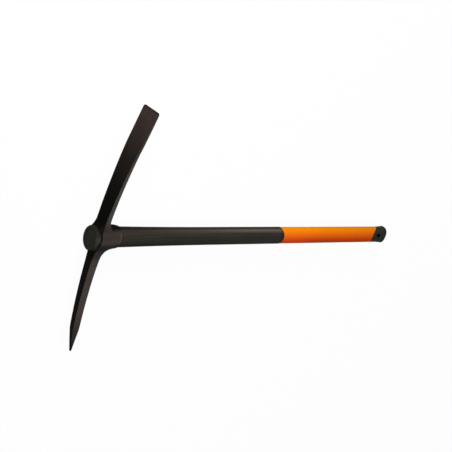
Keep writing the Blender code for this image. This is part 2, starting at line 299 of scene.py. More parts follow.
def extrude_ovals(stations):
    """Extrude the selected oval from the first station through the rest."""
    for before, after in zip(stations, stations[1:]):
        bpy.ops.mesh.extrude_region_move(
            TRANSFORM_OT_translate={"value": (after[0] - before[0], 0, 0)})
        bpy.ops.transform.resize(
            value=(1, after[1] / before[1], after[2] / before[2]),
            center_override=(after[0], 0, 0))


def end_edit(piece, smooth_angle=32):
    bpy.ops.mesh.select_all(action="SELECT")
    bpy.ops.mesh.normals_make_consistent(inside=False)
    bpy.ops.object.mode_set(mode="OBJECT")
    bpy.ops.object.shade_smooth_by_angle(angle=math.radians(smooth_angle))
    return piece


def oval_solid(name, stations, sides=96):
    piece = begin_oval(name, *stations[0], sides, filled=True)
    extrude_ovals(stations)
    return end_edit(piece)


def oval_tube(name, stations, sides=96):
    """Tube whose stations run down its outside and back along its bore."""
    piece = begin_oval(name, *stations[0], sides, filled=False)
    extrude_ovals(stations)
    select_loop(piece, lambda co: abs(co.x - stations[0][0]) < 1e-6)
    bpy.ops.mesh.bridge_edge_loops()
    return end_edit(piece)


def select_loop(piece, test):
    """Select the open edges whose ends both pass the test."""
    bpy.ops.mesh.select_mode(type="EDGE")
    bpy.ops.mesh.select_all(action="DESELECT")
    mesh = bmesh.from_edit_mesh(piece.data)
    for edge in mesh.edges:
        if len(edge.link_faces) < 2 and all(test(vert.co) for vert in edge.verts):
            edge.select_set(True)
    bmesh.update_edit_mesh(piece.data)


def apply_modifier(piece, kind, **settings):
    clear_selection()
    piece.select_set(True)
    bpy.context.view_layer.objects.active = piece
    step = piece.modifiers.new(kind.lower(), kind)
    for name, value in settings.items():
        setattr(step, name, value)
    bpy.ops.object.modifier_apply(modifier=step.name)
    return piece


def cut(piece, cutter, operation="DIFFERENCE"):
    apply_modifier(piece, "BOOLEAN", operation=operation, solver="EXACT", object=cutter)
    bpy.data.objects.remove(cutter)
    return piece


def rounded(x, half_depth, half_width, radius, facing, steps=6):
    """Stations of a rounded edge: facing -1 towards the head, +1 towards the butt."""
    turns = [math.pi / 2 * step / steps for step in range(steps + 1)]
    arc = [(x - facing * radius * (1 - math.cos(turn)),
            half_depth - radius * (1 - math.sin(turn)),
            half_width - radius * (1 - math.sin(turn))) for turn in turns]
    return arc if facing < 0 else arc[::-1]


def spaced(first, last, count):
    return [first + (last - first) * step / count for step in range(1, count + 1)]


# Forged head

wall_row_offsets = (0.0510, 0.0462, 0.0402, 0.0337, 0.0272, 0.0207, 0.0142, 0.0077, 0.0012)
arm_row_offset = 0.0402
chisel_root_stations = (
    (rise_start - 0.0006, 0.0288), (rise_start + 0.0002, 0.0296), (0.0290, 0.0310),
    (0.0320, 0.0334), (0.0355, 0.0364), (0.0395, 0.0401), (0.0440, 0.0444), (0.0520, 0.0520))
pick_root_distances = (0.0290, 0.0330, 0.0380, 0.0440, 0.0520)
shank_start = 0.0640
edge_support = 0.0050
edge_distances = (0.0030, 0.0016, 0.0005, 0.0)
knee_support = 0.0030
tip_support = 0.0020
head_sides = 12
cage_growth = 3 / (2 + math.cos(2 * math.pi / head_sides))
corner_support = 0.0022
rim_support = 0.0012
tight_from = 0.0420


def cage_row(x, half_depth, half_width):
    """Section of the cage, enlarged because subdivision draws a ring of few sides inwards."""
    return (x, half_depth * cage_growth, half_width * cage_growth)


def select_points(piece, indices):
    bpy.ops.mesh.select_all(action="DESELECT")
    mesh = bmesh.from_edit_mesh(piece.data)
    mesh.verts.ensure_lookup_table()
    for index in indices:
        mesh.verts[index].select_set(True)
    mesh.select_flush_mode()
    bmesh.update_edit_mesh(piece.data)


def grid_rows(points):
    """Rows of a grid of points in the order of X, each in the order of Z."""
    rows = {}
    for index, place in points.items():
        rows.setdefault(round(place.x, 5), []).append(index)
    return [sorted(rows[x], key=lambda index: points[index].z) for x in sorted(rows)]


def grid_places(count, low, high, tightness):
    """Places of a grid's lines: even at the root, with support lines near the corners beyond."""
    support = min(corner_support, 0.3 * (high - low) / 2)
    even = [low + (high - low) * step / (count - 1) for step in range(count)]
    inner = [low + support + (high - low - 2 * support) * step / (count - 3)
             for step in range(count - 2)]
    tight = [low] + inner + [high]
    return [a + (b - a) * tightness for a, b in zip(even, tight)]


def shape_section(piece, side, rows, points, station, arm_size):
    """Move the grid of an arm's newest section to its place, one point at a time."""
    outer_distance, inner_distance = station
    outer_x = arm_size(outer_distance)[0]
    inner_x = sum(arm_size(inner_distance)[:2])
    for number, row in enumerate(rows):
        distance = outer_distance
        distance += (inner_distance - outer_distance) * number / (len(rows) - 1)
        half_width = arm_size(distance)[2]
        tightness = min(1.0, max(0.0, (distance - eye_side) / (tight_from - eye_side)))
        x = grid_places(len(rows), outer_x, inner_x, tightness)[number]
        for index, z in zip(row, grid_places(len(row), -half_width, half_width, tightness)):
            y = side * (distance - root_wrap(distance, z))
            if side > 0:
                y += worn_edge(distance, z)
            select_points(piece, [index])
            bpy.ops.transform.translate(value=Vector((x, y, z)) - points[index])
    select_points(piece, points)


def grow_arm(piece, side, last_row_x, stations, arm_size):
    """Extrude an arm from the faces of the eye's wall on one side, section by section."""
    mesh = bmesh.from_edit_mesh(piece.data)
    bpy.ops.mesh.select_mode(type="FACE")
    bpy.ops.mesh.select_all(action="DESELECT")
    for face in mesh.faces:
        middle = face.calc_center_median()
        on_side = middle.y * side > eye_side * 0.6
        on_wall = math.hypot(middle.y / eye_side, middle.z / eye_top_half_width) > 0.9
        in_rows = eye_top_x + 0.001 < middle.x < last_row_x
        face.select_set(on_side and on_wall and in_rows)
    bmesh.update_edit_mesh(piece.data)
    for station in stations:
        bpy.ops.mesh.select_mode(type="FACE")
        bpy.ops.mesh.extrude_region_move(TRANSFORM_OT_translate={"value": (0, side * 0.001, 0)})
        bpy.ops.mesh.select_mode(type="VERT")
        mesh = bmesh.from_edit_mesh(piece.data)
        points = {vert.index: vert.co.copy() for vert in mesh.verts if vert.select}
        shape_section(piece, side, grid_rows(points), points, station, arm_size)
    bpy.ops.mesh.select_mode(type="FACE")
    bpy.ops.mesh.region_to_loop()
    bpy.ops.transform.edge_crease(value=1.0)
    bpy.ops.mesh.select_mode(type="VERT")


def wall_swell(x):
    """How much of its swell the eye's wall has at x."""
    offset = x - eye_top_x - wall_swell_start
    rise = min(1.0, max(0.0, offset / wall_swell_rise_length))
    fall = max(0.0, (offset - wall_swell_rise_length) / wall_swell_fall_length)
    return rise * rise * (3 - 2 * rise) * (1 - wall_swell_fall_share * fall ** 2)


def swell_wall(piece):
    """Move the eye's outer wall out between the cap and the eye's end."""
    mesh = bmesh.from_edit_mesh(piece.data)
    places = {vert.index: vert.co.copy() for vert in mesh.verts}
    bpy.ops.mesh.select_mode(type="VERT")
    for index, place in places.items():
        amount = wall_swell(place.x)
        if math.hypot(place.y / eye_side, place.z / eye_top_half_width) < 0.85 or amount <= 0:
            continue
        swell = chisel_wall_swell if place.y > 0 else pick_wall_swell
        select_points(piece, [index])
        bpy.ops.transform.translate(value=(0, swell * amount * place.y / eye_side, 0))


def make_head():
    """Eye and arms as a cage of few faces, with its corners held and then subdivided."""
    wall_rows = [eye_top_x + offset for offset in wall_row_offsets]
    end_depth, end_width = eye_size(eye_end_x)
    top_depth, top_width = eye_size(eye_top_x)
    stations = [cage_row(eye_end_x, end_depth - rim_support, end_width - rim_support),
                cage_row(eye_end_x, end_depth, end_width)]
    stations += [cage_row(x, *eye_size(x)) for x in wall_rows]
    stations.append(cage_row(eye_top_x, top_depth, top_width))
    stations.append(cage_row(eye_top_x, top_depth - rim_support, top_width - rim_support))
    stations.append(cage_row(eye_top_x, bore_top_half_depth, bore_top_half_width))
    stations.append(cage_row(eye_end_x, bore_end_half_depth, bore_end_half_width))
    head = begin_oval("pick_head_forging", *stations[0], head_sides, filled=False)
    extrude_ovals(stations)
    select_loop(head, lambda co: True)
    bpy.ops.mesh.bridge_edge_loops()
    swell_wall(head)

    grind_start = chisel_reach - chisel_grind_length
    shank = [shank_start] + spaced(shank_start, grind_start, 7)
    shank += spaced(grind_start, chisel_reach - edge_support, 6)
    shank += [chisel_reach - before for before in edge_distances]
    chisel_stations = [*chisel_root_stations, *zip(shank, shank)]
    grow_arm(head, 1, eye_top_x + arm_row_offset, chisel_stations, chisel_size)

    knee = pick_reach - pick_point_length
    tip = pick_reach - point_wear
    shank = [*pick_root_distances, shank_start]
    shank += spaced(shank_start, knee - knee_support, 8) + [knee + knee_support]
    shank += spaced(knee + knee_support, tip - tip_support, 4) + [tip]
    grow_arm(head, -1, eye_top_x + arm_row_offset, zip(shank, shank), pick_size)
    end_edit(head)
    apply_modifier(head, "SUBSURF", levels=3, render_levels=3)
    clear_selection()
    head.select_set(True)
    bpy.context.view_layer.objects.active = head
    bpy.ops.object.shade_smooth_by_angle(angle=math.radians(40))
    return head


# Mouldings

def curve_joint(piece, first_x, last_x):
    """Draw the rings at the joint of shaft and grip towards the head on both Y sides."""
    bpy.ops.object.mode_set(mode="EDIT")
    bpy.ops.mesh.select_mode(type="VERT")
    levels = {}
    for vert in bmesh.from_edit_mesh(piece.data).verts:
        if first_x - 1e-6 < vert.co.x < last_x + 1e-6:
            levels.setdefault(round(abs(vert.co.y), 6), []).append(vert.index)
    for y, indices in levels.items():
        select_points(piece, indices)
        bpy.ops.transform.translate(value=(-joint_curve * (y / shaft_half_depth) ** 2, 0, 0))
    return end_edit(piece)


def make_eye_cap():
    """Puck with a rounded shoulder and a sunk ring round its flat top."""
    ring_outer = cap_ring_inset - cap_ring_width
    profile = [(cap_height, cap_foot_inset), (cap_height, cap_foot_radius)]
    profile += [(cap_height - cap_foot_radius * math.sin(turn),
                 cap_foot_radius * (1 - math.sin(turn)) ** 2)
                for turn in [math.pi / 8 * step for step in range(1, 5)]]
    for step in range(17):
        turn = math.pi / 2 * (1 - step / 16)
        profile.append((cap_shoulder_height * (1 - math.cos(turn)),
                        (cap_shoulder_run - cap_shoulder_wear) * (1 - math.sin(turn))))
    groove = cap_ring_width / 2
    for step in range(9):
        turn = math.pi * step / 8
        profile.append((cap_ring_depth * math.sin(turn),
                        ring_outer + groove * (1 - math.cos(turn))))
    stations = [(x, cap_half_depth - inset, cap_half_width - inset) for x, inset in profile]
    cap = oval_solid("eye_cap_moulding", stations, sides=128)
    bpy.ops.object.mode_set(mode="EDIT")
    bpy.ops.mesh.select_all(action="SELECT")
    bpy.ops.transform.translate(value=(0, -cap_shift, 0))
    bpy.ops.object.mode_set(mode="OBJECT")
    return cap


def make_shaft():
    """Neck in the eye, flared shaft and the thinner seat under the grip."""
    stations = [(eye_top_x + neck_start_depth, neck_half_depth, neck_half_width),
                (shoulder_x, neck_half_depth, neck_half_width)]
    stations += rounded(shoulder_x, *jacket_size(shoulder_x), jacket_edge_radius, -1)
    stations += [(x, *jacket_size(x))
                 for x in spaced(shoulder_x + jacket_edge_radius,
                                 shoulder_x + shoulder_flare_length, 24)]
    stations += rounded(jacket_end_x, *jacket_size(jacket_end_x), jacket_edge_radius, 1)
    seat = (grip_half_depth - grip_wall - touch_gap, grip_half_width - grip_wall - touch_gap)
    stations += [(jacket_end_x, *seat), (tongue_tip_x - seat_end_gap, *seat)]
    shaft = oval_solid("shaft_moulding", stations, sides=128)
    return curve_joint(shaft, jacket_end_x - jacket_edge_radius, jacket_end_x)


def add_tongue_cutter(clearance):
    """Upright block whose round nose is the joint line between the grip and the butt cap."""
    clear_selection()
    bpy.ops.mesh.primitive_cylinder_add(
        vertices=160, radius=1.0, depth=cutter_height, location=(tongue_centre_x, 0, 0))
    cutter = bpy.context.object
    bpy.ops.object.mode_set(mode="EDIT")
    bpy.ops.mesh.select_all(action="SELECT")
    bpy.ops.transform.resize(
        value=(tongue_reach + clearance, tongue_half_depth + clearance, 1),
        center_override=(tongue_centre_x, 0, 0))
    bpy.ops.object.mode_set(mode="OBJECT")
    bpy.ops.object.transform_apply(location=True, rotation=True, scale=True)
    clear_selection()
    bpy.ops.mesh.primitive_cube_add(
        size=cutter_height,
        location=(tongue_centre_x - clearance + cutter_height / 2, 0, 0))
    block = bpy.context.object
    bpy.ops.object.transform_apply(location=True, rotation=True, scale=True)
    return cut(cutter, block, "UNION")


def make_grip():
    """Sleeve whose far end is cut round the butt cap's tongues."""
    far_x = tongue_centre_x + tongue_reach
    bore = (grip_half_depth - grip_wall, grip_half_width - grip_wall)
    stations = rounded(grip_start_x, grip_half_depth, grip_half_width, grip_edge_radius, -1)
    stations += [(x, grip_half_depth, grip_half_width)
                 for x in spaced(grip_start_x + grip_edge_radius, far_x, 30)]
    stations += [(far_x, *bore), (grip_start_x, *bore)]
    grip = oval_tube("grip_overmould", stations, sides=128)
    curve_joint(grip, grip_start_x, grip_start_x + grip_edge_radius)
    return cut(grip, add_tongue_cutter(touch_gap))


def square_up(piece, first_x):
    """Turn the ovals beyond first_x into rounded rectangles, more and more towards the end."""
    mesh = bmesh.from_edit_mesh(piece.data)
    groups = {}
    for vert in mesh.verts:
        if vert.co.x > first_x + 1e-6:
            key = (round(vert.co.x, 6), round(abs(vert.co.y), 6), round(abs(vert.co.z), 6))
            groups.setdefault(key, []).append(vert.index)
    bpy.ops.mesh.select_mode(type="VERT")
    for (x, y, z), indices in groups.items():
        power = 2 + butt_squareness * (x - first_x) / (overall_length - first_x)
        turn = math.atan2(z / butt_end_half_width, y / butt_end_half_depth)
        shares = math.cos(turn) ** power + math.sin(turn) ** power
        growth = shares ** (-1 / power)
        select_points(piece, indices)
        bpy.ops.transform.resize(value=(1, growth, growth), center_override=(x, 0, 0))


def make_butt():
    """Flared end cap, cut to its two tongues and bored for a lanyard."""
    start_x = tongue_tip_x - butt_blank_lead
    flare_start_x = overall_length - butt_flare_length
    stations = [(start_x, grip_half_depth, grip_half_width)]
    stations += [(x, *butt_size(x)) for x in spaced(start_x, flare_start_x, 8)]
    stations += [(x, *butt_size(x))
                 for x in spaced(flare_start_x, overall_length - butt_crisp_radius, 9)]
    stations += rounded(overall_length, *butt_size(overall_length), butt_crisp_radius, 1)
    butt = begin_oval("butt_cap_moulding", *stations[0], 128, filled=True)
    extrude_ovals(stations)
    square_up(butt, flare_start_x)
    end_edit(butt)
    cut(butt, add_tongue_cutter(0.0), "INTERSECT")
    clear_selection()
    bpy.ops.mesh.primitive_cylinder_add(
        vertices=64, radius=lanyard_hole_radius, depth=cutter_height,
        location=(lanyard_hole_x, lanyard_hole_y, 0))
    bore = bpy.context.object
    bpy.ops.object.transform_apply(location=True, rotation=True, scale=True)
    return cut(butt, bore)


# Materials, with colours as linear light

chisel_face_black = (0.0024, 0.0031, 0.0020)
pick_face_black = (0.0070, 0.0060, 0.0050)
blade_brown = (0.051, 0.036, 0.032)
eye_brown = (0.039, 0.030, 0.027)
root_side_grey = (0.061, 0.057, 0.050)
blade_side_brown = (0.048, 0.037, 0.034)
pick_side_brown = (0.066, 0.053, 0.048)
point_black = (0.0080, 0.0062, 0.0052)
lip_black = (0.012, 0.011, 0.010)
shaded_belly_black = (0.018, 0.017, 0.014)
band_brown = (0.068, 0.056, 0.051)
eye_rim_brown = (0.075, 0.066, 0.060)
cap_shadow_black = (0.0022, 0.0021, 0.0016)
lit_cap_shadow_black = (0.0066, 0.0060, 0.0050)
painted_corner_shade = (0.0016, 0.0014, 0.0012)
bare_steel = (0.13, 0.12, 0.11)

cap_wall_green = (0.014, 0.018, 0.013)
cap_wall_lit_brown = (0.036, 0.033, 0.028)
cap_wall_shaded_black = (0.005, 0.006, 0.004)
painted_shoulder_shade_green = (0.0080, 0.0095, 0.0070)
cap_shade_black = (0.0030, 0.0024, 0.0020)

jacket_lit_root_brown = (0.030, 0.023, 0.019)
jacket_lit_brown = (0.050, 0.037, 0.031)
jacket_shaded_underside = (0.010, 0.010, 0.008)
across_by_y = -21.65
across_by_z = 12.6

hole_shade_black = (0.0012, 0.0010, 0.0010)
butt_rim_shade_black = (0.004, 0.004, 0.004)

grip_lit_yellow = (0.80, 0.258, 0.0005)
grip_shaded_red = (0.68, 0.036, 0.006)
grip_shaded_red_near_joint = (0.86, 0.060, 0.009)
grip_aged_red = (0.50, 0.060, 0.004)
grip_patch_red = (0.55, 0.08, 0.006)


def new_material(name):
    material = bpy.data.materials.new(name)
    material.use_nodes = True
    tree = material.node_tree
    return material, tree, tree.nodes["Principled BSDF"]


def value_node(tree, operation, first, second, clamp=False):
    node = tree.nodes.new("ShaderNodeMath")
    node.operation = operation
    node.use_clamp = clamp
    for socket, value in zip(node.inputs, (first, second)):
        if isinstance(value, (int, float)):
            socket.default_value = value
        else:
            tree.links.new(value, socket)
    return node.outputs[0]


def mix_colour(tree, factor, first, second):
    node = tree.nodes.new("ShaderNodeMix")
    node.data_type = "RGBA"
    for socket, value in ((node.inputs[0], factor), (node.inputs[6], first),
                          (node.inputs[7], second)):
        if isinstance(value, (int, float)):
            socket.default_value = value
        elif isinstance(value, tuple):
            socket.default_value = (*value, 1.0)
        else:
            tree.links.new(value, socket)
    return node.outputs[2]


def product(tree, first, *rest):
    for value in rest:
        first = value_node(tree, "MULTIPLY", first, value)
    return first


def radius_of(tree, first, second):
    """Distance from the middle, from the distances along two axes."""
    squares = value_node(tree, "ADD", product(tree, first, first), product(tree, second, second))
    return value_node(tree, "POWER", squares, 0.5)


def fade_between(tree, value, low, high):
    """Smooth mask: 0 where the value is at low and 1 where it is at high."""
    node = tree.nodes.new("ShaderNodeMapRange")
    node.interpolation_type = "SMOOTHSTEP"
    node.inputs["From Min"].default_value = low
    node.inputs["From Max"].default_value = high
    tree.links.new(value, node.inputs["Value"])
    return node.outputs["Result"]


def paint(tree, under, over, *masks):
    """Lay one colour over another as far as the product of the masks says."""
    return mix_colour(tree, product(tree, *masks), under, over)


def multiply_colour(tree, colour, value):
    node = tree.nodes.new("ShaderNodeMix")
    node.data_type = "RGBA"
    node.blend_type = "MULTIPLY"
    node.inputs[0].default_value = 1.0
    tree.links.new(colour, node.inputs[6])
    tree.links.new(value, node.inputs[7])
    return node.outputs[2]


def read_axes(tree, label):
    """X, Y and Z of a point's place, for Object, or of its surface's direction, for Normal."""
    coordinates = tree.nodes.new("ShaderNodeTexCoord")
    axes = tree.nodes.new("ShaderNodeSeparateXYZ")
    tree.links.new(coordinates.outputs[label], axes.inputs[0])
    return tuple(axes.outputs)


def stretched_noise(tree, scale):
    """Noise on Object coordinates, scaled along each axis."""
    place = tree.nodes.new("ShaderNodeTexCoord")
    mapping = tree.nodes.new("ShaderNodeMapping")
    mapping.inputs["Scale"].default_value = scale
    tree.links.new(place.outputs["Object"], mapping.inputs["Vector"])
    noise = tree.nodes.new("ShaderNodeTexNoise")
    noise.inputs["Scale"].default_value = 1.0
    tree.links.new(mapping.outputs["Vector"], noise.inputs["Vector"])
    return noise.outputs["Fac"]


def add_bump(tree, shader, height, distance, strength=1.0):
    bump = tree.nodes.new("ShaderNodeBump")
    bump.inputs["Strength"].default_value = strength
    bump.inputs["Distance"].default_value = distance
    tree.links.new(height, bump.inputs["Height"])
    tree.links.new(bump.outputs["Normal"], shader.inputs["Normal"])


def add_roughness(tree, shader, mask, spread, least):
    rough = value_node(tree, "ADD", product(tree, mask, spread), least)
    tree.links.new(rough, shader.inputs["Roughness"])


def new_group(name, inputs, outputs):
    group = bpy.data.node_groups.new(name, "ShaderNodeTree")
    for label, kind, value in inputs:
        socket = group.interface.new_socket(label, in_out="INPUT", socket_type=kind)
        socket.default_value = value
    for label, kind in outputs:
        group.interface.new_socket(label, in_out="OUTPUT", socket_type=kind)
    return group, group.nodes.new("NodeGroupInput"), group.nodes.new("NodeGroupOutput")


def use_group(tree, group, **values):
    node = tree.nodes.new("ShaderNodeGroup")
    node.node_tree = group
    for name, value in values.items():
        socket = node.inputs[name.replace("_", " ")]
        if isinstance(value, (int, float)):
            socket.default_value = value
        else:
            tree.links.new(value, socket)
    return node


def make_mottle_group():
    """Slow uneven patches on Object coordinates, as a mask from 0 to 1."""
    group, given, put = new_group(
        "mottle", [("Size", "NodeSocketFloat", 0.02), ("Contrast", "NodeSocketFloat", 1.0)],
        [("Mask", "NodeSocketFloat")])
    place = group.nodes.new("ShaderNodeTexCoord")
    scale = value_node(group, "DIVIDE", 1.0, given.outputs["Size"])
    noise = group.nodes.new("ShaderNodeTexNoise")
    noise.inputs["Detail"].default_value = 5.0
    noise.inputs["Roughness"].default_value = 0.6
    group.links.new(place.outputs["Object"], noise.inputs["Vector"])
    group.links.new(scale, noise.inputs["Scale"])
    centred = value_node(group, "SUBTRACT", noise.outputs["Fac"], 0.5)
    spread = value_node(group, "MULTIPLY", centred, given.outputs["Contrast"])
    group.links.new(value_node(group, "ADD", spread, 0.5, clamp=True), put.inputs["Mask"])
    return group


def make_grain_group():
    """Fine moulded or coated grain, as a height from 0 to 1."""
    group, given, put = new_group(
        "grain", [("Size", "NodeSocketFloat", 0.001), ("Pits", "NodeSocketFloat", 0.5)],
        [("Height", "NodeSocketFloat")])
    place = group.nodes.new("ShaderNodeTexCoord")
    scale = value_node(group, "DIVIDE", 1.0, given.outputs["Size"])
    cells = group.nodes.new("ShaderNodeTexVoronoi")
    cells.feature = "SMOOTH_F1"
    group.links.new(place.outputs["Object"], cells.inputs["Vector"])
    group.links.new(scale, cells.inputs["Scale"])
    noise = group.nodes.new("ShaderNodeTexNoise")
    noise.inputs["Detail"].default_value = 3.0
    group.links.new(place.outputs["Object"], noise.inputs["Vector"])
    group.links.new(scale, noise.inputs["Scale"])
    pits = value_node(group, "MULTIPLY", cells.outputs["Distance"], given.outputs["Pits"])
    rest = value_node(group, "MULTIPLY", noise.outputs["Fac"],
                      value_node(group, "SUBTRACT", 1.0, given.outputs["Pits"]))
    group.links.new(value_node(group, "ADD", pits, rest), put.inputs["Height"])
    return group


def make_wear_group(mottle):
    """Rubbed edges: convex places broken up by patches, as a mask from 0 to 1."""
    group, given, put = new_group(
        "edge wear", [("Start", "NodeSocketFloat", 0.55), ("Width", "NodeSocketFloat", 0.1),
                      ("Patch Size", "NodeSocketFloat", 0.006)],
        [("Mask", "NodeSocketFloat")])
    shape = group.nodes.new("ShaderNodeNewGeometry")
    above = value_node(group, "SUBTRACT", shape.outputs["Pointiness"], given.outputs["Start"])
    ramp = value_node(group, "DIVIDE", above, given.outputs["Width"], clamp=True)
    patches = group.nodes.new("ShaderNodeGroup")
    patches.node_tree = mottle
    patches.inputs["Contrast"].default_value = 3.0
    group.links.new(given.outputs["Patch Size"], patches.inputs["Size"])
    group.links.new(value_node(group, "MULTIPLY", ramp, patches.outputs["Mask"]),
                    put.inputs["Mask"])
    return group


mottle_group = make_mottle_group()
grain_group = make_grain_group()
wear_group = make_wear_group(mottle_group)


def make_coated_steel():
    """Black coating over forged steel, greenish black on the faces as painted shade and brown
    elsewhere.
    """
    material, tree, shader = new_material("black coated steel")
    down, along, up = read_axes(tree, "Object")
    _, facing_y, facing_z = read_axes(tree, "Normal")
    patches = use_group(tree, mottle_group, Size=0.014, Contrast=2.0).outputs["Mask"]

    # The faces, painted near black as shade, and the browner sides that look up and down
    # The chisel's face is painted lighter towards its tip, partly as light on its bowed face and
    # partly as rubbing
    tip_light_and_rub = value_node(tree, "DIVIDE", value_node(tree, "SUBTRACT", along, 0.050), 0.223, clamp=True)
    face = paint(tree, chisel_face_black, pick_face_black,
                 fade_between(tree, along, -0.030, -0.055))
    face = paint(tree, face, blade_brown, value_node(tree, "POWER", tip_light_and_rub, 2.0))
    side = paint(tree, eye_brown, root_side_grey, fade_between(tree, along, 0.026, 0.050))
    side = paint(tree, side, blade_side_brown, fade_between(tree, along, 0.150, 0.220))
    side = paint(tree, side, pick_side_brown, fade_between(tree, along, -0.030, -0.060),
                 fade_between(tree, along, -0.240, -0.180))
    near_root = product(tree, fade_between(tree, along, 0.070, 0.035),
                        fade_between(tree, along, 0.010, 0.025), 0.10)
    turned = value_node(tree, "SUBTRACT", value_node(tree, "ABSOLUTE", facing_z, 0.0), near_root)
    colour = paint(tree, face, side, fade_between(tree, turned, 0.35, 0.75))

    # The pick's point and the chisel's edge
    colour = paint(tree, colour, point_black, fade_between(tree, along, -0.248, -0.276))
    lip = value_node(tree, "SUBTRACT", along, product(tree, up, 0.063))
    colour = paint(tree, colour, lip_black, fade_between(tree, lip, 0.2875, 0.2905), 0.55)

    # The eye's wall: painted shade on the side that faces the pick, lighter brown in the middle
    # and round its end
    colour = paint(tree, colour, shaded_belly_black, fade_between(tree, facing_y, -0.16, -0.44),
                   fade_between(tree, along, -0.040, -0.020))
    colour = paint(tree, colour, band_brown, fade_between(tree, facing_y, 0.22, 0.02),
                   fade_between(tree, facing_y, -0.26, -0.10),
                   fade_between(tree, along, 0.024, 0.014),
                   fade_between(tree, along, -0.040, -0.026), 0.6)
    colour = paint(tree, colour, eye_rim_brown, fade_between(tree, down, 0.0612, 0.0640),
                   fade_between(tree, facing_y, 0.80, 0.45),
                   fade_between(tree, facing_y, -0.35, -0.10), 0.7)

    # Painted shadow of the cap on the head, lighter where light reaches it, and painted shade in
    # the corner between the chisel and the eye's end
    lit = product(tree, fade_between(tree, up, 0.009, 0.014),
                  fade_between(tree, along, -0.005, 0.006))
    colour = paint(tree, colour, paint(tree, cap_shadow_black, lit_cap_shadow_black, lit),
                   fade_between(tree, down, 0.0172, 0.0145),
                   fade_between(tree, value_node(tree, "ABSOLUTE", along, 0.0), 0.060, 0.036))
    # Painted shade: near black in the corner on the eye's wall behind the chisel's root
    lean = value_node(tree, "ADD", up,
                      product(tree, value_node(tree, "SUBTRACT", down, 0.047), 0.85))
    colour = paint(tree, colour, painted_corner_shade, fade_between(tree, lean, 0.0082, 0.0064),
                   fade_between(tree, up, -0.022, -0.012),
                   fade_between(tree, down, 0.0405, 0.0440),
                   fade_between(tree, along, 0.012, 0.018),
                   fade_between(tree, along, 0.060, 0.045))

    shade = value_node(tree, "ADD", product(tree, patches, 0.3), 0.85)
    colour = multiply_colour(tree, colour, shade)
    wear = use_group(tree, wear_group, Start=0.56, Width=0.12, Patch_Size=0.004)
    colour = paint(tree, colour, bare_steel, wear.outputs["Mask"], 0.30)
    tree.links.new(colour, shader.inputs["Base Color"])
    add_roughness(tree, shader, patches, 0.16, 0.48)
    shader.inputs["Specular IOR Level"].default_value = 0.01
    grain = use_group(tree, grain_group, Size=0.0011, Pits=0.35)
    add_bump(tree, shader, grain.outputs["Height"], 0.00012, 0.6)
    return material


def begin_plastic(name, low, high, grain_size, specular):
    """Moulded plastic without its colour link: material, tree, shader and colour."""
    material, tree, shader = new_material(name)
    patches = use_group(tree, mottle_group, Size=0.03, Contrast=1.6)
    colour = mix_colour(tree, patches.outputs["Mask"], low, high)
    drawn = fade_between(tree, stretched_noise(tree, (5, 380, 380)), 0.42, 0.60)
    colour = paint(tree, colour, tuple(channel * 0.45 for channel in low), drawn, 0.35)
    grain = use_group(tree, grain_group, Size=grain_size, Pits=0.5).outputs["Height"]
    add_roughness(tree, shader, grain, 0.15, 0.46)
    shader.inputs["Specular IOR Level"].default_value = specular
    add_bump(tree, shader, grain, 0.00006)
    return material, tree, shader, colour


def make_cap_plastic():
    """Grey-green puck with light painted on its shoulder and painted shade in its ring and at the
    head.
    """
    material, tree, shader, colour = begin_plastic(
        "black cap plastic", (0.026, 0.028, 0.020), (0.036, 0.038, 0.029), 0.0008, 0.02)
    depth, along, up = read_axes(tree, "Object")
    across = value_node(tree, "DIVIDE", value_node(tree, "ADD", along, cap_shift), cap_half_depth)
    over = value_node(tree, "DIVIDE", up, cap_half_width)
    radius = radius_of(tree, across, over)
    # Painted light on the shoulder's wall: lighter where it faces up, near black on the pick's
    # side
    wall = paint(tree, cap_wall_green, cap_wall_lit_brown, fade_between(tree, over, 0.30, 0.80))
    wall = paint(tree, wall, cap_wall_shaded_black, fade_between(tree, across, -0.25, -0.60))
    colour = paint(tree, colour, wall, fade_between(tree, radius, 0.92, 0.99))
    # Painted shade on the shoulder on the chisel's side
    colour = paint(tree, colour, painted_shoulder_shade_green, fade_between(tree, across, 0.30, 0.60),
                   fade_between(tree, radius, 0.84, 0.93), 0.7)

    # Painted shade in the ring, heavier on its lower side, on the rim towards the pick and where
    # the cap meets the head, that last partly a dark joint
    ring_shade_weight = value_node(tree, "ADD", product(tree, fade_between(tree, over, 0.2, -0.3), 0.6),
                            0.25)
    groove = product(tree, fade_between(tree, depth, 0.0001, 0.0004),
                     fade_between(tree, radius, 0.80, 0.74), ring_shade_weight)
    shaded_rim = product(tree, fade_between(tree, across, -0.50, -0.72),
                  fade_between(tree, radius, 0.86, 0.94), 0.8)
    widened = product(tree, fade_between(tree, across, 0.15, -0.35), 0.0045)
    head_joint_shade = fade_between(tree, value_node(tree, "ADD", depth, widened), 0.0098, 0.0128)
    ring_rim_and_joint_shade = value_node(tree, "MAXIMUM", value_node(tree, "MAXIMUM", groove, shaded_rim), head_joint_shade)
    tree.links.new(paint(tree, colour, cap_shade_black, ring_rim_and_joint_shade), shader.inputs["Base Color"])
    return material


